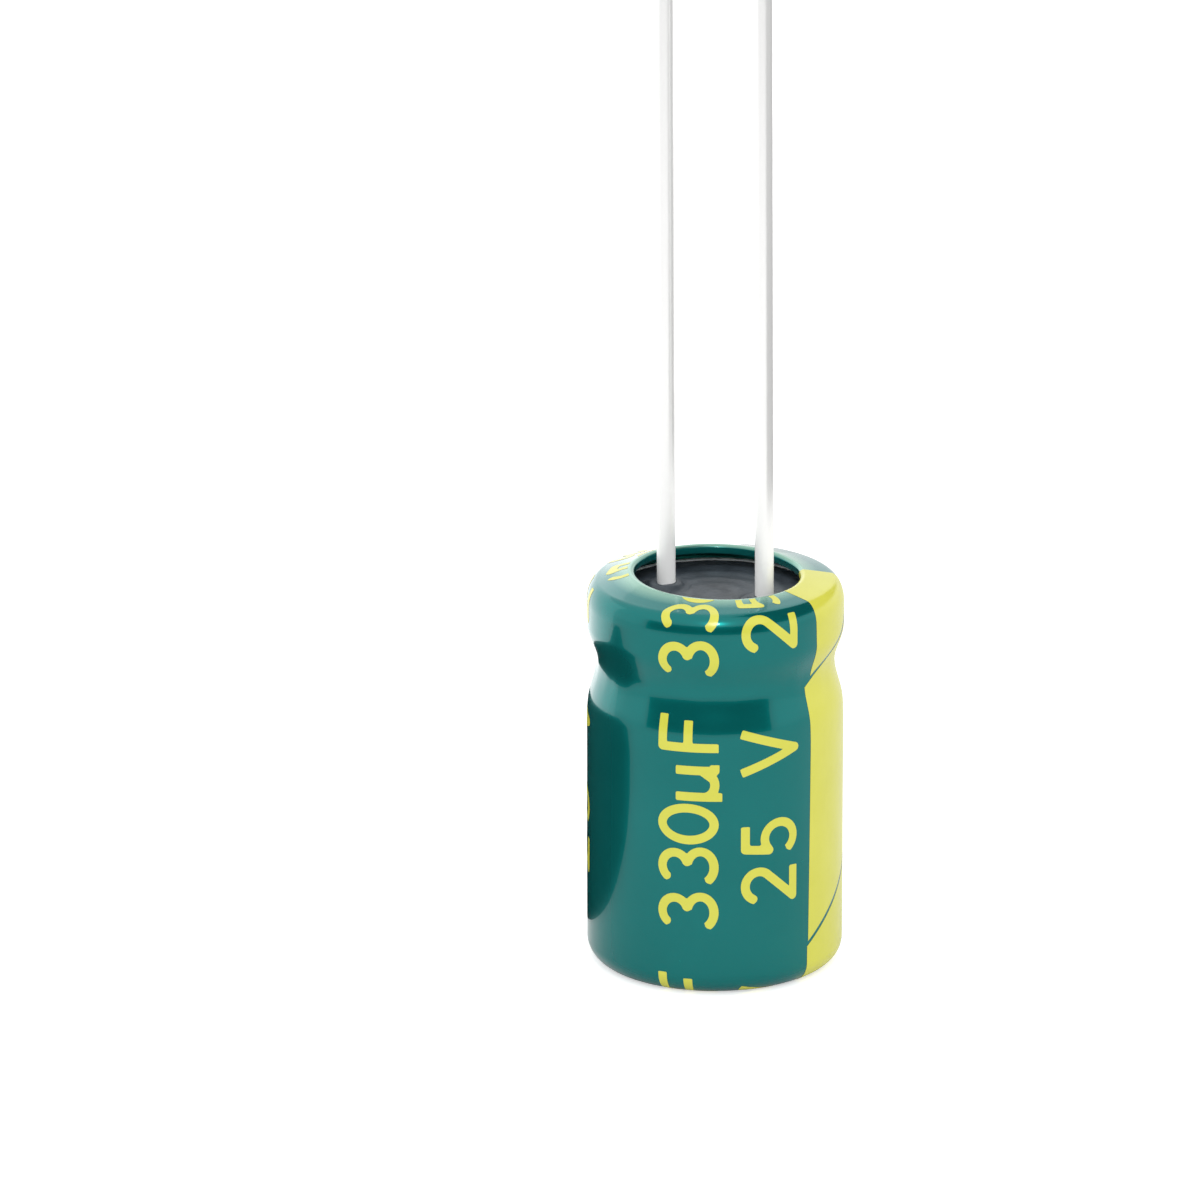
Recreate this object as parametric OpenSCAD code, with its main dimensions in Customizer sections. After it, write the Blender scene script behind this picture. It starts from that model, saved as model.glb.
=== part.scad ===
// Radial electrolytic capacitor, standing on its base with its two leads up.
// Origin: centre of the base. +Z runs along the can, towards the leads.
// The leads lie on the X axis, the negative one at +X.

/* [Can] */
// Outside diameter of the bare aluminium can
can_d = 8; // [6.5:0.1:12.5]
// Height of the finished can, from its base to the crest of its curled rim
can_h = 12.5; // [11:0.5:20]
// Wall of the can
wall_t = 0.25; // [0.15:0.01:0.3]
// Thickness of the can's base
base_t = 0.35; // [0.25:0.01:0.6]
// Outside radius of the corner between base and wall
base_corner_r = 0.6; // [0.4:0.05:1]
// Outside radius of the curled rim
curl_r = 0.32; // [0.31:0.01:0.45]
// How far the end of the curl bites into the rubber
curl_bite = 0.15; // [0.05:0.01:0.3]
// Depth of the scored vent lines in the base
vent_depth = 0.1; // [0.05:0.01:0.2]
// Width of the scored vent lines
vent_w = 0.16; // [0.1:0.01:0.3]
// Length of each scored vent line
vent_len = 4.4; // [2:0.1:5]

/* [Waist] */
// Distance from the crest of the rim down to the rolled bead
bead_drop = 2.55; // [2:0.05:3.5]
// Depth of the soft waist that sleeve and can share
waist_d = 0.3; // [0.1:0.01:0.4]
// Length of the waist's flank above the bead
waist_up = 1.25; // [0.9:0.05:1.5]
// Length of the waist's flank below the bead
waist_down = 2; // [0.9:0.05:2.5]
// Further depth of the rolled bead, which the sleeve bridges
bead_d = 0.32; // [0.1:0.01:0.4]
// Half the width of the rolled bead
bead_half_w = 0.75; // [0.5:0.05:0.9]

/* [Sleeve] */
// Thickness of the shrunk plastic sleeve
film_t = 0.1; // [0.06:0.01:0.2]
// Width of the sleeve's edge under the base, from the sleeve's outside inwards
base_edge_w = 1.3; // [1.2:0.05:2]
// Gap between each lead and the free edge of the sleeve round the seal
lip_clear = 0.61; // [0.4:0.01:0.8]
// Angle at which the free edge of the sleeve rises inwards
lip_rise = 10; // [0:1:20]
// Thickness of the printed ink
ink_t = 0.02; // [0.01:0.005:0.05]
// Angle that the negative stripe covers
stripe_angle = 54; // [30:1:90]
// Angle from the negative lead to the middle of the stripe
stripe_turn = 6; // [-20:1:20]

/* [Seal] */
// Height of the rubber bung
bung_h = 3.2; // [2.9:0.1:4]
// Depth of the bung's face below the crest of the can's rim
bung_drop = 0.4; // [0.35:0.01:0.6]
// Radius of the raised collar round each lead
collar_r = 0.62; // [0.45:0.01:0.8]
// Height of the raised collar round each lead
collar_h = 0.12; // [0.05:0.01:0.2]
// Width and depth of the chamfer on the bung's inner edge
bung_chamfer = 0.3; // [0.1:0.05:0.5]

/* [Leads] */
// Distance between the two leads
lead_pitch = 3.5; // [3:0.1:4]
// Diameter of the wire
lead_d = 0.6; // [0.4:0.05:0.7]
// Length of the positive lead above the bung
lead_long = 25.5; // [15:0.5:35]
// Length of the negative lead above the bung
lead_short = 21; // [12:0.5:30]
// Width of the bevel on the cut ends
lead_bevel = 0.05; // [0.01:0.01:0.1]

/* [Tabs] */
// Diameter of the aluminium post inside the bung
post_d = 1.1; // [0.9:0.05:1.3]
// How deep the weld between post and wire lies below the bung's face
weld_drop = 1; // [0.5:0.1:1.5]
// Thickness of the flattened paddle
paddle_t = 0.22; // [0.15:0.01:0.3]
// Width of the flattened paddle
paddle_w = 1.3; // [1:0.05:1.6]
// Height of the neck between post and paddle
neck_h = 0.5; // [0.2:0.05:0.7]
// Distance from the foot of the paddle to the foot of the foils
paddle_foot = 1; // [0.5:0.1:2]

/* [Winding] */
// Radius of the hole that the winding pin leaves
core_r = 0.6; // [0.4:0.05:0.8]
// Thickness of the etched anode foil
anode_t = 0.1; // [0.08:0.01:0.12]
// Thickness of the cathode foil
cathode_t = 0.05; // [0.03:0.01:0.06]
// Thickness of each separator paper
paper_t = 0.05; // [0.03:0.01:0.06]
// Gap between neighbouring layers
layer_gap = 0.01; // [0.005:0.005:0.02]
// How far the papers stand out past the foils at each end
paper_over = 0.35; // [0.2:0.05:0.6]
// Gap between the winding and the can's floor
floor_gap = 0.15; // [0.1:0.05:0.4]
// Gap between the winding and the tabs' necks
neck_gap = 0.05; // [0.02:0.01:0.1]
// Least gap between the winding and the can's wall
side_gap = 0.12; // [0.08:0.01:0.3]
// Width of the tape that closes the winding
tape_w = 4; // [2:0.5:6]
// Thickness of the tape
tape_t = 0.05; // [0.03:0.01:0.06]

/* [Fits] */
// Gap between the rubber and what passes through it
seal_gap = 0.01; // [0.005:0.005:0.03]
// Gap between a paddle and the layers beside it
paddle_gap = 0.03; // [0.01:0.01:0.05]

/* [Hidden] */

$fn = 96;
corner_steps = 8;
flank_steps = 12;
edge_steps = 4;

can_r = can_d / 2;
sleeve_r = can_r + film_t;
crest_z = film_t + can_h;
curl_z = crest_z - curl_r;
bead_z = crest_z - bead_drop;
floor_z = film_t + base_t;

bung_top = crest_z - bung_drop;
bung_foot = bung_top - bung_h;
leg_r = can_r - 2 * curl_r;
leg_foot = bung_top - curl_bite;

lead_r = lead_d / 2;
post_r = post_d / 2;
post_top = bung_top - weld_drop;

layer_pitch = anode_t + cathode_t + 2 * paper_t + 4 * layer_gap;
winding_foot = floor_z + floor_gap;
winding_top = bung_foot - neck_h - neck_gap;
foil_foot = winding_foot + paper_over;
foil_top = winding_top - paper_over;
winding_r = can_r - wall_t - side_gap - tape_t - layer_gap;
half_turns = floor(2 * (winding_r - core_r - layer_pitch / 4) / layer_pitch) - 2;

// Points along an arc in the r, z plane
function arc(centre, r, from, to, steps) =
    [for (i = [0:steps]) let (a = from + (to - from) * i / steps)
        centre + r * [cos(a), sin(a)]];

function reversed(points) = [for (i = [len(points) - 1:-1:0]) points[i]];

// Smooth hump, 1 in the middle and 0 from -1 and 1 outwards
function hump(u) = abs(u) < 1 ? (1 + cos(180 * u)) / 2 : 0;

function waist(z) = waist_d * hump((z - bead_z) / (z > bead_z ? waist_up : waist_down));
function bead(z) = bead_d * hump((z - bead_z) / bead_half_w);

function flank(from, to) = [for (i = [0:flank_steps]) from + (to - from) * i / flank_steps];
waist_heights = concat(flank(bead_z - waist_down, bead_z - bead_half_w),
                       flank(bead_z - bead_half_w, bead_z + bead_half_w),
                       flank(bead_z + bead_half_w, bead_z + waist_up));

// A wall with the waist, drawn at a given radius and with or without the bead
function waisted_wall(r, bead_share) =
    [for (i = [0:len(waist_heights) - 1])
        let (z = waist_heights[i])
        if (i == 0 || z > waist_heights[i - 1] + 0.001)
            [r - waist(z) - bead_share * bead(z), z]];

// The sleeve's outside from base corner to rim, drawn a distance inside the real one
base_open_r = sleeve_r - base_edge_w;
lip_r = lead_pitch / 2 + lead_r + lip_clear;
base_centre = [can_r - base_corner_r, film_t + base_corner_r];
curl_centre = [can_r - curl_r, curl_z];
sleeve_curl_r = curl_r + film_t;
free_len = (curl_centre[0] + sleeve_curl_r * sin(lip_rise) - lip_r) / cos(lip_rise);
free_run = free_len * [-cos(lip_rise), sin(lip_rise)];

function sleeve_line(inset, from) = concat(
    arc(base_centre, base_corner_r + film_t - inset, from, 0, corner_steps),
    waisted_wall(sleeve_r - inset, 0),
    arc(curl_centre, sleeve_curl_r - inset, 0, 90 - lip_rise, corner_steps));

function sleeve_edge() =
    arc(curl_centre + (sleeve_curl_r - film_t / 2) * [sin(lip_rise), cos(lip_rise)] + free_run,
        film_t / 2, 90 - lip_rise, 270 - lip_rise, edge_steps);

module sleeve() {
    color([0.08, 0.47, 0.43])
        rotate_extrude()
            polygon(concat(
                sleeve_line(0, -90),
                sleeve_edge(),
                reversed(sleeve_line(film_t, -90)),
                arc([base_open_r, film_t / 2], film_t / 2, 90, 270, edge_steps)));
}

// The stripe is ink on the sleeve: it starts at the base corner, clear of the floor
module polarity_stripe() {
    first = -60;
    film_line = sleeve_line(0, first);
    ink_line = sleeve_line(-ink_t, first);
    color([0.87, 0.84, 0.31])
        rotate([0, 0, stripe_turn - stripe_angle / 2])
            rotate_extrude(angle = stripe_angle)
                polygon(concat(
                    ink_line,
                    [ink_line[len(ink_line) - 1] + free_run,
                     film_line[len(film_line) - 1] + free_run],
                    reversed(film_line)));
}

module vent_score() {
    for (turn = [0, 90])
        rotate([0, 0, turn + 45])
            translate([-vent_len / 2, -vent_w / 2, film_t - vent_depth])
                cube([vent_len, vent_w, 2 * vent_depth]);
}

module can() {
    inner_corner_r = base_corner_r - wall_t;
    leg_wall = [leg_r + wall_t, leg_foot];
    color([0.86, 0.87, 0.88])
        difference() {
            rotate_extrude()
                polygon(concat(
                    [[0, film_t]],
                    arc(base_centre, base_corner_r, -90, 0, corner_steps),
                    waisted_wall(can_r, 1),
                    arc(curl_centre, curl_r, 0, 180, 2 * corner_steps),
                    [[leg_r, leg_foot], leg_wall],
                    arc(curl_centre, curl_r - wall_t, 180, 0, corner_steps),
                    reversed(waisted_wall(can_r - wall_t, 1)),
                    arc([can_r - base_corner_r, floor_z + inner_corner_r],
                        inner_corner_r, 0, -90, corner_steps),
                    [[0, floor_z]]));
            vent_score();
        }
}

module at_leads() {
    for (side = [-1, 1])
        translate([side * lead_pitch / 2, 0, 0])
            children();
}

// The bung fills the can's mouth: it is waisted by the bead and held down by the curl
module bung() {
    bung_r = can_r - wall_t;
    shoulder_r = leg_r - seal_gap;
    wall_line = [for (p = waisted_wall(bung_r, 1)) if (p[1] > bung_foot + bung_chamfer) p];
    color([0.2, 0.22, 0.27])
        difference() {
            union() {
                rotate_extrude()
                    polygon(concat(
                        [[0, bung_foot], [bung_r - 2 * bung_chamfer, bung_foot],
                         [wall_line[0][0], bung_foot + bung_chamfer]],
                        wall_line,
                        [[bung_r, leg_foot], [shoulder_r, leg_foot],
                         [shoulder_r, bung_top], [0, bung_top]]));
                at_leads()
                    translate([0, 0, bung_top - seal_gap])
                        cylinder(h = collar_h + seal_gap, r1 = collar_r, r2 = collar_r - collar_h);
            }
            at_leads()
                union() {
                    translate([0, 0, bung_foot - 1])
                        cylinder(h = post_top + seal_gap - bung_foot + 1, r = post_r + seal_gap);
                    translate([0, 0, bung_foot])
                        cylinder(h = bung_h + 1, r = lead_r + seal_gap);
                }
        }
}

module lead(length) {
    top = bung_top + length;
    color([0.82, 0.83, 0.84])
        rotate_extrude()
            polygon([[0, post_top], [lead_r, post_top], [lead_r, top - lead_bevel],
                     [lead_r - lead_bevel, top], [0, top]]);
}

module lead_positive() {
    translate([-lead_pitch / 2, 0, 0]) lead(lead_long);
}

module lead_negative() {
    translate([lead_pitch / 2, 0, 0]) lead(lead_short);
}

module paddle(grow) {
    foot = foil_foot + paddle_foot - grow;
    translate([-paddle_t / 2 - grow, -paddle_w / 2 - grow, foot])
        cube([paddle_t + 2 * grow, paddle_w + 2 * grow, bung_foot - neck_h - foot]);
}

// A neck pressed flat: two tapered profiles, crossed
module neck() {
    foot = bung_foot - neck_h;
    intersection() {
        translate([0, paddle_w, 0]) rotate([90, 0, 0])
            linear_extrude(height = 2 * paddle_w)
                polygon([[-paddle_t / 2, foot], [paddle_t / 2, foot],
                         [post_r, bung_foot], [-post_r, bung_foot]]);
        translate([-post_d, 0, 0]) rotate([90, 0, 90])
            linear_extrude(height = 2 * post_d)
                polygon([[-paddle_w / 2, foot], [paddle_w / 2, foot],
                         [post_r, bung_foot], [-post_r, bung_foot]]);
    }
}

module tab() {
    color([0.78, 0.8, 0.82])
        union() {
            intersection() {
                neck();
                translate([0, 0, bung_foot - neck_h])
                    cylinder(h = neck_h, r1 = paddle_w, r2 = post_r);
            }
            translate([0, 0, bung_foot]) cylinder(h = post_top - bung_foot, r = post_r);
            paddle(0);
        }
}

module tab_positive() {
    translate([-lead_pitch / 2, 0, 0]) tab();
}

module tab_negative() {
    translate([lead_pitch / 2, 0, 0]) tab();
}

// One layer of the winding: half rings about two centres half a pitch apart,
// each half a pitch wider than the one before, which join into a spiral
module layer(start, thick, foot, top, first, last) {
    difference() {
        union()
            for (k = [first:last])
                translate([(k % 2 == 0 ? -1 : 1) * layer_pitch / 4, 0, 0])
                    rotate([0, 0, k % 2 == 0 ? 0 : 180])
                        rotate_extrude(angle = 180)
                            translate([core_r + start + k * layer_pitch / 2, foot])
                                square([thick, top - foot]);
        at_leads() paddle(paddle_gap);
    }
}

paper_step = paper_t + layer_gap;
anode_start = paper_step;
outer_paper_start = anode_start + anode_t + layer_gap;
cathode_start = outer_paper_start + paper_step;

module anode_foil() {
    color([0.55, 0.56, 0.57])
        layer(anode_start, anode_t, foil_foot, foil_top, 1, half_turns - 3);
}

module cathode_foil() {
    color([0.72, 0.73, 0.74])
        layer(cathode_start, cathode_t, foil_foot, foil_top, 1, half_turns - 2);
}

module separator_inner() {
    color([0.9, 0.85, 0.7])
        layer(0, paper_t, winding_foot, winding_top, 0, half_turns);
}

module separator_outer() {
    color([0.88, 0.83, 0.68])
        layer(outer_paper_start, paper_t, winding_foot, winding_top, 0, half_turns);
}

// The tape lies on the last full turn of the outer paper
module winding_tape() {
    middle = (winding_foot + winding_top) / 2;
    color([0.75, 0.55, 0.25])
        layer(outer_paper_start + paper_step, tape_t,
              middle - tape_w / 2, middle + tape_w / 2, half_turns - 1, half_turns);
}

sleeve();
polarity_stripe();
can();
bung();
lead_positive();
lead_negative();
tab_positive();
tab_negative();
anode_foil();
cathode_foil();
separator_inner();
separator_outer();
winding_tape();
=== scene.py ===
import math
import bpy
from mathutils import Matrix, Vector, noise


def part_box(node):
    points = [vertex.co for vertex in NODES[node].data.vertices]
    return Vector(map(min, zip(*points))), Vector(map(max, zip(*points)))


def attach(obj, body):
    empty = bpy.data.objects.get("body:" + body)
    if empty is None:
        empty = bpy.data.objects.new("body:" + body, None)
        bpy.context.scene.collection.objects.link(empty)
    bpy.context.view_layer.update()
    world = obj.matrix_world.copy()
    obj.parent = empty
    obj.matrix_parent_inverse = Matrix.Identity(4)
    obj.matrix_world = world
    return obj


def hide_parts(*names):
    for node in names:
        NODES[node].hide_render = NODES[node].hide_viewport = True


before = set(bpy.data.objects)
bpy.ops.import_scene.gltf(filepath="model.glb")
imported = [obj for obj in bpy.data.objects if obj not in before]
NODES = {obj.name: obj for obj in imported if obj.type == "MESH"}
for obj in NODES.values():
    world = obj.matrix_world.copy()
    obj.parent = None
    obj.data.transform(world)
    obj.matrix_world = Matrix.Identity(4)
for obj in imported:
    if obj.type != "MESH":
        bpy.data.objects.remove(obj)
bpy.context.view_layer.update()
MM = 0.001

# Driving sizes, in metres, read from the parts in model.glb where these hold them
sleeve_low, sleeve_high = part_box("sleeve")
can_low, can_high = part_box("can")
SLEEVE_R = -sleeve_low.x
SLEEVE_TOP = sleeve_high.z
CAN_R = -can_low.x
FILM_T = SLEEVE_R - CAN_R
CREST_Z = can_high.z
BASE_CORNER_R = 0.6 * MM
CURL_R = 0.32 * MM
BASE_EDGE_W = 1.3 * MM
LIP_R = 2.64 * MM
LIP_RISE = math.radians(13)
LIP_ROLL_R = 0.22 * MM
LIP_ROLL_END = 110
LIP_EDGE_R = 0.11 * MM
LIP_DROP = 0.14 * MM
BEAD_Z = CREST_Z - 2.55 * MM
WAIST_D = 0.3 * MM
WAIST_UP = 1.25 * MM
WAIST_DOWN = 2.2 * MM
WAIST_STEEP = 0.22 * MM
WAIST_STEEP_DOWN = 1.4 * MM
SHOULDER_EASE = 0.3 * MM
COLLAR_H = 0.12 * MM
COLLAR_R = 0.62 * MM
BUNG_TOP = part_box("bung")[1].z - COLLAR_H
LEAD_R = 0.3 * MM
LEAD_X = -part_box("lead_positive")[0].x - LEAD_R
WIRE_ROOT = 3 * MM
# Heights over which the curl takes a painted reflection of the film's dark green, in shade
CURL_PAINTED_REFLECTION_FROM = CREST_Z - 0.3 * MM
CURL_PAINTED_REFLECTION_FULL = CREST_Z - 0.28 * MM

# Camera, from a fit to the outline in the photograph
IMAGE_PX = 1200
SENSOR_W = 36.0
CLIP = (0.01, 10)
VIEW_TURN = math.radians(24.7)
VIEW_DOWN = math.radians(17.92)
VIEW_ROLL = math.radians(0.13)
VIEW_DISTANCE = 300 * MM
PX_PER_MM = 31.21
AIM_Z = 6 * MM
AIM_PX = (714.9, 777.0)


def front(azimuth):
    """Angle round the object of a place seen from the camera: 0 faces it, + lies to its right."""
    return math.radians(azimuth) - math.pi / 2 + VIEW_TURN


# Node helpers

def new_material(name):
    mat = bpy.data.materials.new(name)
    mat.use_nodes = True
    nodes = mat.node_tree.nodes
    return mat, nodes, mat.node_tree.links, nodes["Principled BSDF"]


def object_noise(nodes, links, scale, detail=3, stretch=(1, 1, 1)):
    coords = nodes.new("ShaderNodeTexCoord")
    mapping = nodes.new("ShaderNodeMapping")
    mapping.inputs["Scale"].default_value = stretch
    tex = nodes.new("ShaderNodeTexNoise")
    tex.inputs["Scale"].default_value = scale
    tex.inputs["Detail"].default_value = detail
    links.new(coords.outputs["Object"], mapping.inputs["Vector"])
    links.new(mapping.outputs["Vector"], tex.inputs["Vector"])
    return tex.outputs["Fac"]


RAMP_PLACES = (0.3, 0.7)


def ramp(nodes, links, fac, low, high):
    """A colour that goes from low to high over the middle of a noise's range."""
    node = nodes.new("ShaderNodeValToRGB")
    for element, place, colour in zip(node.color_ramp.elements, RAMP_PLACES, (low, high)):
        element.position = place
        element.color = (*colour, 1)
    links.new(fac, node.inputs["Fac"])
    return node.outputs["Color"]


def spread(nodes, links, fac, low, high, start=0.0, end=1.0):
    """A value that goes from low to high while fac goes from start to end."""
    node = nodes.new("ShaderNodeMapRange")
    node.inputs["From Min"].default_value = start
    node.inputs["From Max"].default_value = end
    node.inputs["To Min"].default_value = low
    node.inputs["To Max"].default_value = high
    links.new(fac, node.inputs["Value"])
    return node.outputs["Result"]


def by_height(nodes, links, z_low, z_high, low, high):
    """A value that goes from low to high between two heights on the object."""
    coords = nodes.new("ShaderNodeTexCoord")
    split = nodes.new("ShaderNodeSeparateXYZ")
    links.new(coords.outputs["Object"], split.inputs["Vector"])
    return spread(nodes, links, split.outputs["Z"], low, high, z_low, z_high)


def tinted(nodes, links, fac, colour, tint):
    """A colour that gives way to a tint where fac is 1."""
    node = nodes.new("ShaderNodeMix")
    node.data_type = "RGBA"
    links.new(fac, node.inputs["Factor"])
    links.new(colour, node.inputs["A"])
    node.inputs["B"].default_value = (*tint, 1)
    return node.outputs["Result"]


def clear_coat(shader, ior, roughness):
    """A clear coat in place of the plastic's own highlight."""
    shader.inputs["Specular IOR Level"].default_value = 0.0
    shader.inputs["Coat Weight"].default_value = 1.0
    shader.inputs["Coat IOR"].default_value = ior
    shader.inputs["Coat Roughness"].default_value = roughness


def bump(nodes, links, shader, height, distance):
    node = nodes.new("ShaderNodeBump")
    node.inputs["Distance"].default_value = distance
    node.inputs["Strength"].default_value = 1.0
    links.new(height, node.inputs["Height"])
    links.new(node.outputs["Normal"], shader.inputs["Normal"])


# Materials

# Where the painted highlight lies on top of the film's free edge: its reach in radius and how far the
# film must face up
LIP_HIGHLIGHT_FULL_R = LIP_R + 0.25 * MM
LIP_HIGHLIGHT_END_R = LIP_R + 0.72 * MM
LIP_HIGHLIGHT_FROM_SLOPE = 0.3
LIP_HIGHLIGHT_FULL_SLOPE = 0.8


def painted_lip_highlight(nodes, links):
    """1 where a highlight is painted on top of the film's free edge round the seal, else 0."""
    coords = nodes.new("ShaderNodeTexCoord")
    level = nodes.new("ShaderNodeVectorMath")
    level.operation = "MULTIPLY"
    level.inputs[1].default_value = (1, 1, 0)
    links.new(coords.outputs["Object"], level.inputs[0])
    radius = nodes.new("ShaderNodeVectorMath")
    radius.operation = "LENGTH"
    links.new(level.outputs["Vector"], radius.inputs[0])
    near = spread(nodes, links, radius.outputs["Value"], 1, 0, LIP_HIGHLIGHT_FULL_R, LIP_HIGHLIGHT_END_R)
    normal = nodes.new("ShaderNodeSeparateXYZ")
    links.new(coords.outputs["Normal"], normal.inputs["Vector"])
    upward = spread(nodes, links, normal.outputs["Z"], 0, 1, LIP_HIGHLIGHT_FROM_SLOPE, LIP_HIGHLIGHT_FULL_SLOPE)
    both = nodes.new("ShaderNodeMath")
    both.operation = "MULTIPLY"
    links.new(near, both.inputs[0])
    links.new(upward, both.inputs[1])
    return both.outputs["Value"]


def film_material():
    """Teal film with a metal sheen below a clear coat, and a painted highlight on top of its free edge.
    """
    mat, nodes, links, shader = new_material("sleeve_film")
    cloud = object_noise(nodes, links, 350)
    teal = ramp(nodes, links, cloud, (0.0028, 0.153, 0.147), (0.0036, 0.166, 0.160))
    # The pale colour on top of the lip is a painted highlight
    colour = tinted(nodes, links, painted_lip_highlight(nodes, links), teal, (0.20, 0.39, 0.31))
    links.new(colour, shader.inputs["Base Color"])
    haze = object_noise(nodes, links, 900)
    links.new(spread(nodes, links, haze, 0.2, 0.3), shader.inputs["Roughness"])
    shader.inputs["Metallic"].default_value = 0.62
    clear_coat(shader, 1.3, 0.045)
    ripple = object_noise(nodes, links, 500, 2, (1, 1, 0.4))
    bump(nodes, links, shader, ripple, 0.01 * MM)
    return mat


def ink_material():
    mat, nodes, links, shader = new_material("yellow_ink")
    tone = object_noise(nodes, links, 700)
    links.new(ramp(nodes, links, tone, (0.585, 0.575, 0.050), (0.615, 0.605, 0.063)),
              shader.inputs["Base Color"])
    grain = object_noise(nodes, links, 6000)
    links.new(spread(nodes, links, grain, 0.3, 0.42), shader.inputs["Roughness"])
    clear_coat(shader, 1.62, 0.25)
    bump(nodes, links, shader, grain, 0.003 * MM)
    return mat


def aluminium_material(name, low, high, roughness):
    mat, nodes, links, shader = new_material(name)
    tone = object_noise(nodes, links, 800)
    links.new(ramp(nodes, links, tone, (low, low, low), (high, high, high * 1.01)),
              shader.inputs["Base Color"])
    grain = object_noise(nodes, links, 4000, 3, (1, 1, 0.1))
    links.new(spread(nodes, links, grain, roughness, roughness + 0.12), shader.inputs["Roughness"])
    shader.inputs["Metallic"].default_value = 1.0
    bump(nodes, links, shader, grain, 0.004 * MM)
    return mat


def can_material():
    """Satin aluminium; the curl under the film gets a painted reflection of the film's dark green, dark
    with the shade there.
    """
    mat = aluminium_material("can_aluminium", 0.78, 0.86, 0.28)
    nodes, links = mat.node_tree.nodes, mat.node_tree.links
    shader = nodes["Principled BSDF"]
    plain = shader.inputs["Base Color"].links[0].from_socket
    # Painted reflection and shade: the film's dark green on the curl
    painted_reflection_on_curl = by_height(nodes, links, CURL_PAINTED_REFLECTION_FROM, CURL_PAINTED_REFLECTION_FULL, 0, 1)
    colour = tinted(nodes, links, painted_reflection_on_curl, plain, (0.012, 0.15, 0.125))
    links.new(colour, shader.inputs["Base Color"])
    return mat


def rubber_material():
    mat, nodes, links, shader = new_material("seal_rubber")
    tone = object_noise(nodes, links, 1200)
    links.new(ramp(nodes, links, tone, (0.022, 0.031, 0.040), (0.048, 0.062, 0.076)),
              shader.inputs["Base Color"])
    grain = object_noise(nodes, links, 5000, 4)
    links.new(spread(nodes, links, grain, 0.4, 0.6), shader.inputs["Roughness"])
    bump(nodes, links, shader, grain, 0.012 * MM)
    return mat


def wire_material():
    mat, nodes, links, shader = new_material("tinned_wire")
    tone = object_noise(nodes, links, 1500, 3, (1, 1, 0.15))
    links.new(ramp(nodes, links, tone, (0.97, 0.97, 0.96), (0.99, 0.99, 0.98)),
              shader.inputs["Base Color"])
    drawn = object_noise(nodes, links, 9000, 2, (1, 1, 0.03))
    links.new(spread(nodes, links, drawn, 0.26, 0.34), shader.inputs["Roughness"])
    links.new(by_height(nodes, links, BUNG_TOP, BUNG_TOP + WIRE_ROOT, 0.0, 0.5),
              shader.inputs["Metallic"])
    bump(nodes, links, shader, drawn, 0.0008 * MM)
    return mat


def fibre_material(name, low, high, scale, roughness, metallic=0.0):
    mat, nodes, links, shader = new_material(name)
    tone = object_noise(nodes, links, scale, 5)
    links.new(ramp(nodes, links, tone, low, high), shader.inputs["Base Color"])
    links.new(spread(nodes, links, tone, roughness, roughness + 0.15), shader.inputs["Roughness"])
    shader.inputs["Metallic"].default_value = metallic
    bump(nodes, links, shader, tone, 0.004 * MM)
    return mat


FILM = film_material()
INK = ink_material()
CAN = can_material()
TAB = aluminium_material("tab_aluminium", 0.70, 0.80, 0.32)
RUBBER = rubber_material()
WIRE = wire_material()
ETCHED = fibre_material("etched_foil", (0.36, 0.37, 0.38), (0.46, 0.47, 0.48), 6000, 0.55, 1.0)
PLAIN = fibre_material("plain_foil", (0.58, 0.59, 0.60), (0.66, 0.67, 0.68), 3000, 0.35, 1.0)
# The curl's end: pale and rough, partly bare metal's own colour and partly a painted highlight where the
# edge catches light
CUT_EDGE_WITH_HIGHLIGHT = fibre_material("curl_edge_with_painted_highlight", (0.84, 0.90, 0.90), (0.90, 0.95, 0.95), 3000, 0.4, 0.1)
PAPER = fibre_material("separator_paper", (0.62, 0.53, 0.36), (0.76, 0.68, 0.50), 3500, 0.75)
TAPE = fibre_material("closing_tape", (0.40, 0.21, 0.05), (0.50, 0.28, 0.08), 1500, 0.3)


# The sleeve's outside: one line in the r, z plane, walked from under the base to the free edge

def hump(u):
    return (1 + math.cos(math.pi * u)) / 2 if abs(u) < 1 else 0.0


def waist(z):
    """Depth of the crimp: short above the bead; below it a steep flank and a long shallow one."""
    u = z - BEAD_Z
    if u > 0:
        return WAIST_D * hump(u / WAIST_UP)
    return WAIST_STEEP * hump(u / WAIST_STEEP_DOWN) + (WAIST_D - WAIST_STEEP) * hump(u / WAIST_DOWN)


def arc(centre, radius, start, end, steps, ease=0.0):
    """Points on an arc; ease stretches its first quarter downwards, so that it starts gently."""
    turn = [math.radians(start + (end - start) * i / steps) for i in range(steps + 1)]
    return [(centre[0] + radius * math.cos(a),
             centre[1] - ease + (radius + ease) * math.sin(a)) for a in turn]


def straight(a, b, steps):
    return [(a[0] + (b[0] - a[0]) * i / steps, a[1] + (b[1] - a[1]) * i / steps)
            for i in range(1, steps)]


BASE_CENTRE = (CAN_R - BASE_CORNER_R, FILM_T + BASE_CORNER_R)
CURL_CENTRE = (CAN_R - CURL_R, CREST_Z - CURL_R)
WALL_FROM_R = 0.9 * CAN_R


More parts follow.
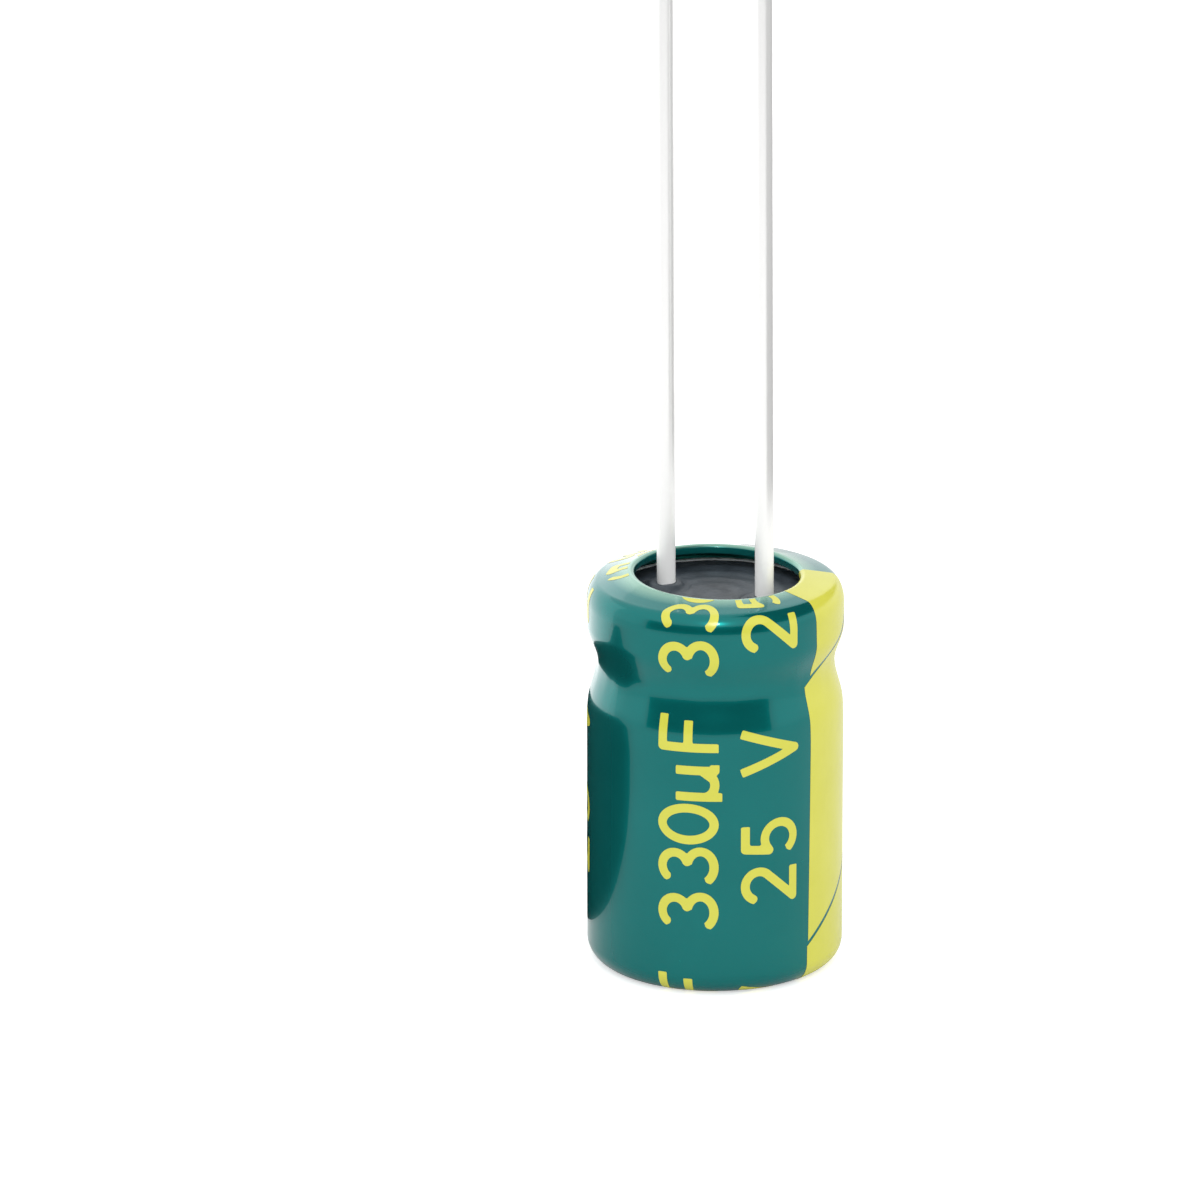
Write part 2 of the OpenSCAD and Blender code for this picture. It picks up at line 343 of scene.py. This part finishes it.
def lip_line(start, inset, fine):
    """The free edge round the seal: a soft roll inwards, then a tight one, then straight down."""
    flat = 90 - math.degrees(LIP_RISE)
    roll_from, roll_to = math.radians(flat), math.radians(LIP_ROLL_END)
    edge_x = LIP_R + LIP_EDGE_R
    roll_x = edge_x - (LIP_ROLL_R - LIP_EDGE_R) * math.cos(roll_to)
    first_x = roll_x + (LIP_ROLL_R - inset) * math.cos(roll_from)
    first_z = start[1] + (start[0] - first_x) * math.tan(LIP_RISE)
    roll_z = first_z - (LIP_ROLL_R - inset) * math.sin(roll_from)
    edge_z = roll_z + (LIP_ROLL_R - LIP_EDGE_R) * math.sin(roll_to)
    roll = arc((roll_x, roll_z), LIP_ROLL_R - inset, flat, LIP_ROLL_END, 3 * fine)
    turn_in = arc((edge_x, edge_z), LIP_EDGE_R - inset, LIP_ROLL_END, 180, 3 * fine)
    return roll + turn_in[1:] + [(LIP_R + inset, edge_z - LIP_DROP)]


def sleeve_line(inset, fine):
    """Points from the edge under the base, up the wall, to the free edge round the seal."""
    base_open = SLEEVE_R - BASE_EDGE_W
    corner = arc(BASE_CENTRE, BASE_CORNER_R + FILM_T - inset, -90, 0, 6 * fine)
    ease = SHOULDER_EASE if inset == 0 else 0.0
    rim = arc(CURL_CENTRE, CURL_R + FILM_T - inset, 0, 90 - math.degrees(LIP_RISE), 8 * fine, ease)
    waist_low, waist_high = BEAD_Z - WAIST_DOWN, BEAD_Z + WAIST_UP
    steps = 18 * fine
    flanks = [waist_low + (waist_high - waist_low) * i / steps for i in range(steps + 1)]
    wall = [(SLEEVE_R - inset - waist(z), z) for z in flanks]
    lip = lip_line(rim[-1], inset, fine)
    edge = [(base_open, inset)]
    return (edge + straight(edge[0], corner[0], 3 * fine) + corner
            + straight(corner[-1], wall[0], 6 * fine) + wall
            + straight(wall[-1], rim[0], 3 * fine) + rim
            + straight(rim[-1], lip[0], 5 * fine) + lip)


class Line:
    """A line in the r, z plane that can be read by its length from its start."""

    def __init__(self, points):
        self.points = points
        self.at = [0.0]
        for a, b in zip(points, points[1:]):
            self.at.append(self.at[-1] + math.dist(a, b))

    def read(self, s):
        s = min(max(s, 0.0), self.at[-1])
        low, high = 0, len(self.at) - 1
        while high - low > 1:
            mid = (low + high) // 2
            if self.at[mid] <= s:
                low = mid
            else:
                high = mid
        a, b = self.points[low], self.points[high]
        step = self.at[high] - self.at[low]
        t = (s - self.at[low]) / step
        out = ((b[1] - a[1]) / step, -(b[0] - a[0]) / step)
        return a[0] + (b[0] - a[0]) * t, a[1] + (b[1] - a[1]) * t, out

    def length_at(self, z):
        """Length at which the wall, past the base, first reaches a height."""
        for a, b, s in zip(self.points, self.points[1:], self.at):
            if b[0] > WALL_FROM_R and a[1] <= z < b[1]:
                return s + math.dist(a, b) * (z - a[1]) / (b[1] - a[1])
        return 0.0


OUTSIDE = Line(sleeve_line(0.0, 4))
SLEEVE_SIDES = 240
LIP_SHIFT = 0.06 * MM
LIP_SHIFT_TURN = front(90)
LIP_WOBBLE = 0.02 * MM
LIP_TILT = 0.1 * MM
LIP_TILT_TURN = front(-120)
LIP_RAISE = 0.01 * MM
WOBBLES_ROUND = 2.3
WOBBLE_LAYER = 9
FILM_WAVE = 0.012 * MM
WAVES_ROUND = 1.6
WAVES_PER_MM = 0.22
PLEAT_DEPTH = 0.012 * MM
PLEATS_ROUND = 9.1
PLEATS_PER_MM = 0.15
PLEAT_LAYER = 5


def film_shift(turn, r, z):
    """How far the film leaves its ideal form at a place: outwards, sideways and up."""
    around = Vector((math.cos(turn), math.sin(turn), 0))
    wave = noise.noise(around * WAVES_ROUND + Vector((0, 0, z / MM * WAVES_PER_MM)))
    pleat = noise.noise(around * PLEATS_ROUND + Vector((PLEAT_LAYER, 0, z / MM * PLEATS_PER_MM)))
    out = FILM_WAVE * wave + PLEAT_DEPTH * pleat * waist(z) / WAIST_D
    free = max(0.0, (CURL_CENTRE[0] - r) / (CURL_CENTRE[0] - LIP_R)) if z > CURL_CENTRE[1] else 0.0
    wobble = noise.noise(around * WOBBLES_ROUND + Vector((0, WOBBLE_LAYER, 0)))
    side = LIP_SHIFT * free
    up = free * (LIP_RAISE + LIP_TILT * math.cos(turn - LIP_TILT_TURN))
    out += LIP_WOBBLE * free * wobble
    return out, side, up


SIDEWAYS = Vector((math.cos(LIP_SHIFT_TURN), math.sin(LIP_SHIFT_TURN), 0))


def film_point(turn, r, z):
    out, side, up = film_shift(turn, r, z)
    around = Vector((math.cos(turn), math.sin(turn), 0))
    return around * (r + out) + SIDEWAYS * side + Vector((0, 0, z + up))


def on_film(turn, s, lift):
    """A place on the sleeve's outside, lifted off it along its normal."""
    r, z, out = OUTSIDE.read(s)
    return film_point(turn, r + out[0] * lift, z + out[1] * lift)


def add_mesh(name, points, faces, material):
    """A smooth-shaded piece that rides on the part's one body."""
    mesh = bpy.data.meshes.new(name)
    mesh.from_pydata(points, [], faces)
    mesh.materials.append(material)
    mesh.validate()
    obj = bpy.data.objects.new(name, mesh)
    bpy.context.scene.collection.objects.link(obj)
    for face in mesh.polygons:
        face.use_smooth = True
    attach(obj, "root")
    return obj


def turned(name, line, sides, material, place=film_point, closed=True):
    """Turns a line in the r, z plane into a skin; a closed one joins the line's end to its start."""
    points = [place(2 * math.pi * k / sides, r, z) for r, z in line for k in range(sides)]
    rows = len(line)
    faces = [(i * sides + k, i * sides + (k + 1) % sides,
              ((i + 1) % rows) * sides + (k + 1) % sides, ((i + 1) % rows) * sides + k)
             for i in range(rows if closed else rows - 1) for k in range(sides)]
    return add_mesh(name, points, faces, material)


def build_sleeve():
    outer = sleeve_line(0.0, 3)
    inner = sleeve_line(FILM_T, 1)
    middle = ((outer[-1][0] + inner[-1][0]) / 2, outer[-1][1])
    lip = arc(middle, FILM_T / 2, 180, 360, 6)[1:-1]
    base_middle = (outer[0][0], FILM_T / 2)
    base = arc(base_middle, FILM_T / 2, 90, 270, 6)[1:-1]
    line = outer + lip + inner[::-1] + base
    piece = turned("sleeve_skin", line, SLEEVE_SIDES, FILM)
    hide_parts("sleeve")


# The yellow stripe, cut by thin slanted gaps

INK_LIFT = 0.005 * MM
STRIPE_END = 98.0
STRIPE_COLUMNS = 40
STRIPE_ROW = 0.08 * MM
STRIPE_TO_BASE = 0.05 * MM
STRIPE_TO_EDGE = 0.03 * MM

# The azimuth of the left edge of each part, at its lower and its upper end
STRIPE_EDGES = ((45.0, 45.4), (46.0, 47.4), (51.5, 49.5))
GAP_W = 0.14 * MM

# Each gap with its azimuth and height where it meets the stripe's edge, and its climb
GAPS = ((45.4, 1.34 * MM, 0.72), (47.1, 9.93 * MM, 0.62))


def gap_length(gap, turn):
    """Length along the sleeve's line at which a slanted gap crosses a place round the sleeve."""
    azimuth, z, climb = gap
    return OUTSIDE.length_at(z) + (turn - front(azimuth)) * SLEEVE_R * climb


def stripe_ends(part, turn):
    """The lengths on the sleeve's line between which a part of the stripe runs."""
    low, high = STRIPE_TO_BASE, OUTSIDE.at[-1] - STRIPE_TO_EDGE
    if part > 0:
        low = gap_length(GAPS[part - 1], turn) + GAP_W / 2
    if part < len(GAPS):
        high = gap_length(GAPS[part], turn) - GAP_W / 2
    return low, high


def build_stripe():
    points, faces = [], []
    rows = int(OUTSIDE.at[-1] / len(STRIPE_EDGES) / STRIPE_ROW)
    wide = STRIPE_COLUMNS + 1
    for part, (edge_low, edge_high) in enumerate(STRIPE_EDGES):
        first = len(points)
        for i in range(rows + 1):
            t = i / rows
            left = edge_low + (edge_high - edge_low) * t
            for k in range(wide):
                turn = front(left + (STRIPE_END - left) * k / STRIPE_COLUMNS)
                low, high = stripe_ends(part, turn)
                points.append(on_film(turn, low + (high - low) * t, INK_LIFT))
        for i in range(rows):
            for k in range(STRIPE_COLUMNS):
                q = first + i * wide + k
                faces.append((q, q + 1, q + wide + 1, q + wide))
    piece = add_mesh("stripe_ink", points, faces, INK)
    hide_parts("polarity_stripe")


# Printed figures: their sizes, and their places along the sleeve, are in millimetres

GLYPH_CELL = 0.05
FIGURE_H = 1.96
STROKE_HALF = 0.145


def bow(cx, cy, rx, ry, start, end, steps):
    turn = [math.radians(start + (end - start) * i / steps) for i in range(steps + 1)]
    return [(cx + rx * math.cos(a), cy + ry * math.sin(a)) for a in turn]


# The strokes of each figure, on a grid 1 wide and 1 high; u stands for the Greek letter
GLYPHS = {
    "0": [bow(0.5, 0.5, 0.42, 0.43, 0, 380, 42)],
    "2": [bow(0.5, 0.70, 0.38, 0.23, 165, -35, 20) + [(0.10, 0.07), (0.92, 0.07)]],
    "3": [bow(0.46, 0.715, 0.36, 0.215, 150, -80, 20), bow(0.46, 0.29, 0.42, 0.22, 80, -150, 20)],
    "5": [[(0.84, 0.93), (0.24, 0.93), (0.17, 0.52)] + bow(0.47, 0.335, 0.40, 0.265, 128, -145, 22)],
    "u": [[(0.12, -0.06), (0.12, 0.70)], [(0.12, 0.24)] + bow(0.44, 0.24, 0.32, 0.18, 180, 300, 12)
          + [(0.78, 0.24)], [(0.82, 0.70), (0.82, 0.06), (0.98, 0.06)]],
    "F": [[(0.12, 0.0), (0.12, 0.93), (0.92, 0.93)], [(0.12, 0.50), (0.80, 0.50)]],
    "V": [[(0.03, 1.0), (0.5, 0.04), (0.97, 1.0)]],
}


def outside_by(x, y, lines, half):
    """How far a place lies outside the strokes, negative inside; their ends are cut flat."""
    best = math.inf
    for line in lines:
        last = len(line) - 2
        for i, (a, b) in enumerate(zip(line, line[1:])):
            length = math.dist(a, b)
            along = ((x - a[0]) * (b[0] - a[0]) + (y - a[1]) * (b[1] - a[1])) / length
            aside = ((x - a[0]) * (b[1] - a[1]) - (y - a[1]) * (b[0] - a[0])) / length
            before, after = -along, along - length
            over = max(before if i > 0 else 0.0, after if i < last else 0.0, 0.0)
            reach = math.hypot(aside, over) - half
            if i == 0:
                reach = max(reach, before)
            if i == last:
                reach = max(reach, after)
            best = min(best, reach)
    return best


def glyph_mesh(strokes, wide, high, half):
    """Small square cells that fill the strokes, cut where they cross the strokes' edge."""
    lines = [[(x * wide, y * high) for x, y in line] for line in strokes]
    xs, ys = zip(*[p for line in lines for p in line])
    left, foot = min(xs) - half - GLYPH_CELL, min(ys) - half - GLYPH_CELL
    columns = math.ceil((max(xs) + half - left) / GLYPH_CELL) + 1
    rows = math.ceil((max(ys) + half - foot) / GLYPH_CELL) + 1
    field = {(i, k): outside_by(left + GLYPH_CELL * i, foot + GLYPH_CELL * k, lines, half)
             for i in range(columns + 1) for k in range(rows + 1)}
    points, known, cells = [], {}, []

    def corner(a, b):
        """The grid place a, or where the edge from a to b crosses the strokes' edge."""
        if (a, b) not in known:
            known[a, b] = len(points)
            t = field[a] / (field[a] - field[b]) if a != b else 0.0
            points.append((left + GLYPH_CELL * (a[0] + (b[0] - a[0]) * t),
                           foot + GLYPH_CELL * (a[1] + (b[1] - a[1]) * t)))
        return known[a, b]

    for i in range(columns):
        for k in range(rows):
            ring = [(i, k), (i + 1, k), (i + 1, k + 1), (i, k + 1)]
            cell = []
            for a, b in zip(ring, ring[1:] + ring[:1]):
                if field[a] < 0:
                    cell.append(corner(a, a))
                if (field[a] < 0) != (field[b] < 0):
                    cell.append(corner(min(a, b), max(a, b)))
            if cell:
                cells.append(cell)
    return points, cells


# Each figure with its foot along the sleeve and its width; each column with its azimuth
RATING = (("3", 2.27, 1.26), ("3", 3.79, 1.26), ("0", 5.17, 1.27), ("u", 6.58, 1.25), ("F", 8.2, 1.29))
VOLTAGE = (("2", 3.05, 1.25), ("5", 4.62, 1.28), ("V", 7.45, 1.38))
COLUMNS = ((-26.5, RATING), (11.0, VOLTAGE), (-106.0, VOLTAGE), (-143.0, RATING))
COPY_STARTS = (-8.64, 0.0, 8.47)
PRINT_TO_BASE = 0.03 * MM
PRINT_TO_EDGE = 0.38 * MM
PLAIN_WALL_Z = 3 * MM


def build_print():
    points, faces = [], []
    wall_start = OUTSIDE.length_at(PLAIN_WALL_Z) - PLAIN_WALL_Z
    top = OUTSIDE.at[-1] - PRINT_TO_EDGE
    flats = {letter: glyph_mesh(GLYPHS[letter], wide, FIGURE_H, STROKE_HALF)
             for letter, foot, wide in RATING + VOLTAGE}
    for azimuth, letters in COLUMNS:
        for start in COPY_STARTS:
            for letter, foot, wide in letters:
                low = (foot + start) * MM + wall_start
                flat, cells = flats[letter]
                lengths = [low + x * MM for x, y in flat]
                first = len(points)
                points += [on_film(front(azimuth) + (FIGURE_H - y) * MM / SLEEVE_R, s, INK_LIFT)
                           for (x, y), s in zip(flat, lengths)]
                faces += [tuple(first + i for i in cell) for cell in cells
                          if all(PRINT_TO_BASE < lengths[i] < top for i in cell)]
    add_mesh("print_ink", points, faces, INK)


# The seal's face: shallow moulded rings and a collar round each lead

MOUTH_R = CAN_R - 2 * CURL_R
MOUTH_SIDES = 160
SEAL_RINGS = 90
SEAL_GAP = 0.01 * MM
SEAL_LIFT = 0.03 * MM
SEAL_RING_PITCH = 0.65 * MM
SEAL_RING_DEPTH = 0.013 * MM
SEAL_WAVES = ((0.012 * MM, 1.3, 0), (0.01 * MM, 3.5, 4))
MOAT_DEPTH = 0.05 * MM
MOAT_R = COLLAR_R + 0.1 * MM
MOAT_HALF_W = 0.09 * MM


def seal_height(x, y):
    """Height of the seal: faint rings and unevenness, and a collar in a moat round each lead."""
    rise = SEAL_LIFT + SEAL_RING_DEPTH * math.sin(math.hypot(x, y) / SEAL_RING_PITCH * 2 * math.pi)
    for depth, per_mm, layer in SEAL_WAVES:
        rise += depth * noise.noise(Vector((x / MM * per_mm, y / MM * per_mm, layer)))
    for lead_x in (-LEAD_X, LEAD_X):
        d = math.hypot(x - lead_x, y)
        t = min(max((d - (COLLAR_R - COLLAR_H)) / COLLAR_H, 0.0), 1.0)
        rise += COLLAR_H * (1 - t * t * (3 - 2 * t))
        rise -= MOAT_DEPTH * math.exp(-((d - MOAT_R) / MOAT_HALF_W) ** 2)
    return BUNG_TOP + rise


def build_bung():
    sides = MOUTH_SIDES
    points = [(0, 0, seal_height(0, 0))]
    for i in range(1, SEAL_RINGS + 1):
        r = (MOUTH_R - SEAL_GAP) * i / SEAL_RINGS
        for k in range(sides):
            a = 2 * math.pi * k / sides
            x, y = r * math.cos(a), r * math.sin(a)
            points.append((x, y, seal_height(x, y)))
    faces = [(0, 1 + k, 1 + (k + 1) % sides) for k in range(sides)]
    for i in range(SEAL_RINGS - 1):
        a, b = 1 + i * sides, 1 + (i + 1) * sides
        faces += [(a + k, b + k, b + (k + 1) % sides, a + (k + 1) % sides) for k in range(sides)]
    add_mesh("seal_face", points, faces, RUBBER)


CURL_END_TOP = CREST_Z - 0.29 * MM
CURL_END_H = 0.1 * MM
CURL_END_W = 0.045 * MM


def build_curl_end():
    """The curl's end, pressed into the seal: a bare, bevelled ring inside the film's edge; its pale
    colour is partly the metal's own and partly a painted highlight.
    """
    inner, foot = MOUTH_R - CURL_END_W, CURL_END_TOP - CURL_END_H
    line = [(MOUTH_R, BUNG_TOP), (inner, BUNG_TOP), (inner, foot), (MOUTH_R, CURL_END_TOP)]

    def place(turn, r, z):
        return Vector((r * math.cos(turn), r * math.sin(turn), z))

    turned("curl_end", line, MOUTH_SIDES, CUT_EDGE_WITH_HIGHLIGHT, place)


# Leads: the shifts say how far one leans towards +X where it leaves the seal and at its tip

LEAD_SIDES = 40
LEAD_ROW = 0.25 * MM
LEAD_BEVEL = 0.05 * MM
LEAD_WAVE = 0.004 * MM
LEAD_WAVES_PER_MM = 0.8
POSITIVE_SHIFTS = (0.04 * MM, -0.06 * MM)
NEGATIVE_SHIFTS = (-0.04 * MM, -0.17 * MM)


def build_lead(name, node, x, shifts):
    low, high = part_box(node)
    root_shift, tip_shift = shifts
    rows = int((high.z - low.z) / LEAD_ROW)
    straight_end = high.z - LEAD_BEVEL
    line = [(0.0, low.z)] + [(LEAD_R, low.z + (straight_end - low.z) * i / rows) for i in range(rows + 1)]
    line += [(LEAD_R - 0.6 * LEAD_BEVEL, high.z - 0.25 * LEAD_BEVEL),
             (LEAD_R - 2 * LEAD_BEVEL, high.z), (0.0, high.z)]

    def place(turn, r, z):
        up = min(max((z - BUNG_TOP) / (high.z - BUNG_TOP), 0.0), 1.0)
        lean = root_shift + (tip_shift - root_shift) * up
        wave = LEAD_WAVE * noise.noise(Vector((x / MM, 0, z / MM * LEAD_WAVES_PER_MM)))
        return Vector((x + r * math.cos(turn) + lean + wave, r * math.sin(turn) + wave, z))

    piece = turned(name, line, LEAD_SIDES, WIRE, place, closed=False)
    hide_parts(node)


# Stage: the floor, and the cards and drum that only the gloss mirrors

FLOOR_TO_CAMERA = 0.55
SKY = 1.18
SKY_TO_GLOSS = 1.2
GLOW = 1.8


def plain_material(name, colour):
    mat, _, _, shader = new_material(name)
    shader.inputs["Base Color"].default_value = (*colour, 1)
    shader.inputs["Roughness"].default_value = 0.9
    shader.inputs["Specular IOR Level"].default_value = 0.0
    return mat


def floor_material():
    """White floor, a little brighter to the camera, so that it clips to white but keeps its shadow."""
    mat, nodes, links, shader = new_material("floor_white")
    shader.inputs["Base Color"].default_value = (0.8, 0.8, 0.8, 1)
    shader.inputs["Roughness"].default_value = 0.9
    shader.inputs["Specular IOR Level"].default_value = 0.0
    shader.inputs["Emission Color"].default_value = (1, 1, 1, 1)
    path = nodes.new("ShaderNodeLightPath")
    links.new(spread(nodes, links, path.outputs["Is Camera Ray"], 0, FLOOR_TO_CAMERA),
              shader.inputs["Emission Strength"])
    return mat


def glow_material():
    mat, _, _, shader = new_material("glow")
    shader.inputs["Base Color"].default_value = (0, 0, 0, 1)
    shader.inputs["Specular IOR Level"].default_value = 0.0
    shader.inputs["Emission Color"].default_value = (1, 1, 1, 1)
    shader.inputs["Emission Strength"].default_value = GLOW
    return mat


def stage_mesh(name, points, faces, material):
    mesh = bpy.data.meshes.new(name)
    mesh.from_pydata(points, [], faces)
    mesh.materials.append(material)
    obj = bpy.data.objects.new(name, mesh)
    bpy.context.scene.collection.objects.link(obj)
    return obj


FLOOR_HALF = 1.5
FLOOR_Z = -0.02 * MM


def build_floor():
    """The floor lies a hair below the object, so that the two don't share a face."""
    h, z = FLOOR_HALF, FLOOR_Z
    stage_mesh("floor", [(-h, -h, z), (h, -h, z), (h, h, z), (-h, h, z)], [(0, 1, 2, 3)],
               floor_material())


def hide_but_gloss(obj):
    """Leaves a stage object to mirror reflections alone."""
    obj.visible_camera = False
    obj.visible_diffuse = False
    obj.visible_shadow = False
    obj.visible_transmission = False


def flag(name, distance, from_az, to_az, low, high, material, steps=24):
    """A curved card round the object that only mirror reflections see."""
    points = []
    for i in range(steps + 1):
        a = front(from_az + (to_az - from_az) * i / steps)
        x, y = distance * math.cos(a), distance * math.sin(a)
        points += [(x, y, low), (x, y, high)]
    faces = [(2 * i, 2 * i + 2, 2 * i + 3, 2 * i + 1) for i in range(steps)]
    hide_but_gloss(stage_mesh(name, points, faces, material))


GLOW_FLOOR_Z = 0.02 * MM


def glow_floor(near, far, from_az, to_az, material, steps=36):
    """A sheet on the floor behind the object that brightens what the gloss mirrors at its limbs."""
    points = []
    for i in range(steps + 1):
        a = front(from_az + (to_az - from_az) * i / steps)
        points += [(near * math.cos(a), near * math.sin(a), GLOW_FLOOR_Z),
                   (far * math.cos(a), far * math.sin(a), GLOW_FLOOR_Z)]
    faces = [(2 * i, 2 * i + 1, 2 * i + 3, 2 * i + 2) for i in range(steps)]
    hide_but_gloss(stage_mesh("glow_floor", points, faces, material))


def in_view(right, away, z):
    """A place given to the camera's right, away from it and up."""
    return Matrix.Rotation(VIEW_TURN, 3, "Z") @ Vector((right, away, z))


def drum(name, start, end, radius, material, sides=48):
    """A lying drum that only mirror reflections see."""
    along = (end - start).normalized()
    side = along.cross(Vector((0, 0, 1)))
    points = [centre + side * radius * math.cos(2 * math.pi * k / sides)
              + Vector((0, 0, radius * math.sin(2 * math.pi * k / sides)))
              for centre in (start, end) for k in range(sides)]
    faces = [(k, (k + 1) % sides, sides + (k + 1) % sides, sides + k) for k in range(sides)]
    faces += [tuple(range(sides)), tuple(range(sides, 2 * sides))]
    hide_but_gloss(stage_mesh(name, points, faces, material))


CARD_DISTANCE = 120 * MM
GLOW_AZIMUTHS = (178, 260)
GLOW_HIGH = 92 * MM
GLOW_FLOOR_SPAN = (20 * MM, 119 * MM)
STRIP_AZIMUTHS = (-63, 50)
STRIP_HEIGHTS = (2 * MM, 62 * MM)
SIDE_DISTANCE = 8 * MM
SIDE_AZIMUTHS = (38, 130)
SIDE_HEIGHTS = (13.6 * MM, 45 * MM)
DRUM_START = in_view(-17.2 * MM, -0.9 * MM, 3.4 * MM)
DRUM_END = in_view(-5.4 * MM, 5.6 * MM, 3.4 * MM)


def build_flags():
    """What the gloss mirrors: a glow behind, a dark strip ahead, a drum left, a card right."""
    dark = plain_material("flag_dark", (0.004, 0.006, 0.006))
    grey = plain_material("flag_grey", (0.05, 0.05, 0.05))
    glow = glow_material()
    flag("glow_back", CARD_DISTANCE, *GLOW_AZIMUTHS, 0, GLOW_HIGH, glow)
    glow_floor(*GLOW_FLOOR_SPAN, *GLOW_AZIMUTHS, glow)
    flag("flag_front", CARD_DISTANCE, *STRIP_AZIMUTHS, *STRIP_HEIGHTS, dark)
    flag("flag_right", SIDE_DISTANCE, *SIDE_AZIMUTHS, *SIDE_HEIGHTS, grey)
    drum("flag_left", DRUM_START, DRUM_END, SLEEVE_R, dark)


# Light: an even white room and one tall lamp for the glint on the shoulder

LAMP_AZIMUTH = 1.2
LAMP_HEIGHT = math.radians(38)
LAMP_DISTANCE = 330 * MM
LAMP_WIDE = 26 * MM
LAMP_HIGH = 60 * MM
LAMP_POWER = 0.16


def build_light():
    world = bpy.data.worlds.new("room")
    bpy.context.scene.world = world
    world.use_nodes = True
    nodes, links = world.node_tree.nodes, world.node_tree.links
    background = nodes["Background"]
    background.inputs["Color"].default_value = (1, 1, 1, 1)
    path = nodes.new("ShaderNodeLightPath")
    links.new(spread(nodes, links, path.outputs["Is Glossy Ray"], SKY, SKY_TO_GLOSS),
              background.inputs["Strength"])
    lamp = bpy.data.lights.new("key", "AREA")
    lamp.shape = "ELLIPSE"
    lamp.size = LAMP_WIDE
    lamp.size_y = LAMP_HIGH
    lamp.energy = LAMP_POWER
    obj = bpy.data.objects.new("key", lamp)
    turn = front(LAMP_AZIMUTH)
    level, rise = LAMP_DISTANCE * math.cos(LAMP_HEIGHT), LAMP_DISTANCE * math.sin(LAMP_HEIGHT)
    obj.location = (level * math.cos(turn), level * math.sin(turn), rise)
    aim = Vector((0, 0, SLEEVE_TOP)) - obj.location
    obj.rotation_mode = "QUATERNION"
    obj.rotation_quaternion = aim.to_track_quat("-Z", "Y")
    bpy.context.scene.collection.objects.link(obj)


def build_camera():
    data = bpy.data.cameras.new("camera")
    data.sensor_width = SENSOR_W
    focal_px = PX_PER_MM / MM * VIEW_DISTANCE
    data.lens = focal_px / IMAGE_PX * SENSOR_W
    data.clip_start, data.clip_end = CLIP
    obj = bpy.data.objects.new("camera", data)
    bpy.context.scene.collection.objects.link(obj)
    turn = Matrix.Rotation(VIEW_TURN, 3, "Z")
    right = Vector((1, 0, 0))
    up = Vector((0, math.sin(VIEW_DOWN), math.cos(VIEW_DOWN)))
    forward = turn @ Vector((0, math.cos(VIEW_DOWN), -math.sin(VIEW_DOWN)))
    cos_roll, sin_roll = math.cos(VIEW_ROLL), math.sin(VIEW_ROLL)
    cam_x = turn @ (right * cos_roll - up * sin_roll)
    cam_y = turn @ (right * sin_roll + up * cos_roll)
    half = IMAGE_PX / 2
    off_x = (AIM_PX[0] - half) / focal_px * VIEW_DISTANCE
    off_y = -(AIM_PX[1] - half) / focal_px * VIEW_DISTANCE
    place = Vector((0, 0, AIM_Z)) - cam_x * off_x - cam_y * off_y - forward * VIEW_DISTANCE
    axes = Matrix((cam_x, cam_y, -forward)).transposed().to_4x4()
    obj.matrix_world = Matrix.Translation(place) @ axes
    bpy.context.scene.camera = obj


def dress(node, material):
    mesh = NODES[node].data
    mesh.materials.clear()
    mesh.materials.append(material)


for node, material in (("can", CAN), ("bung", RUBBER), ("tab_positive", TAB), ("tab_negative", TAB),
                       ("anode_foil", ETCHED), ("cathode_foil", PLAIN), ("separator_inner", PAPER),
                       ("separator_outer", PAPER), ("winding_tape", TAPE)):
    dress(node, material)

build_camera()
build_sleeve()
build_stripe()
build_print()
build_bung()
build_curl_end()
build_lead("wire_positive", "lead_positive", -LEAD_X, POSITIVE_SHIFTS)
build_lead("wire_negative", "lead_negative", LEAD_X, NEGATIVE_SHIFTS)
build_floor()
build_flags()
build_light()

bpy.context.scene.view_settings.view_transform = "Standard"
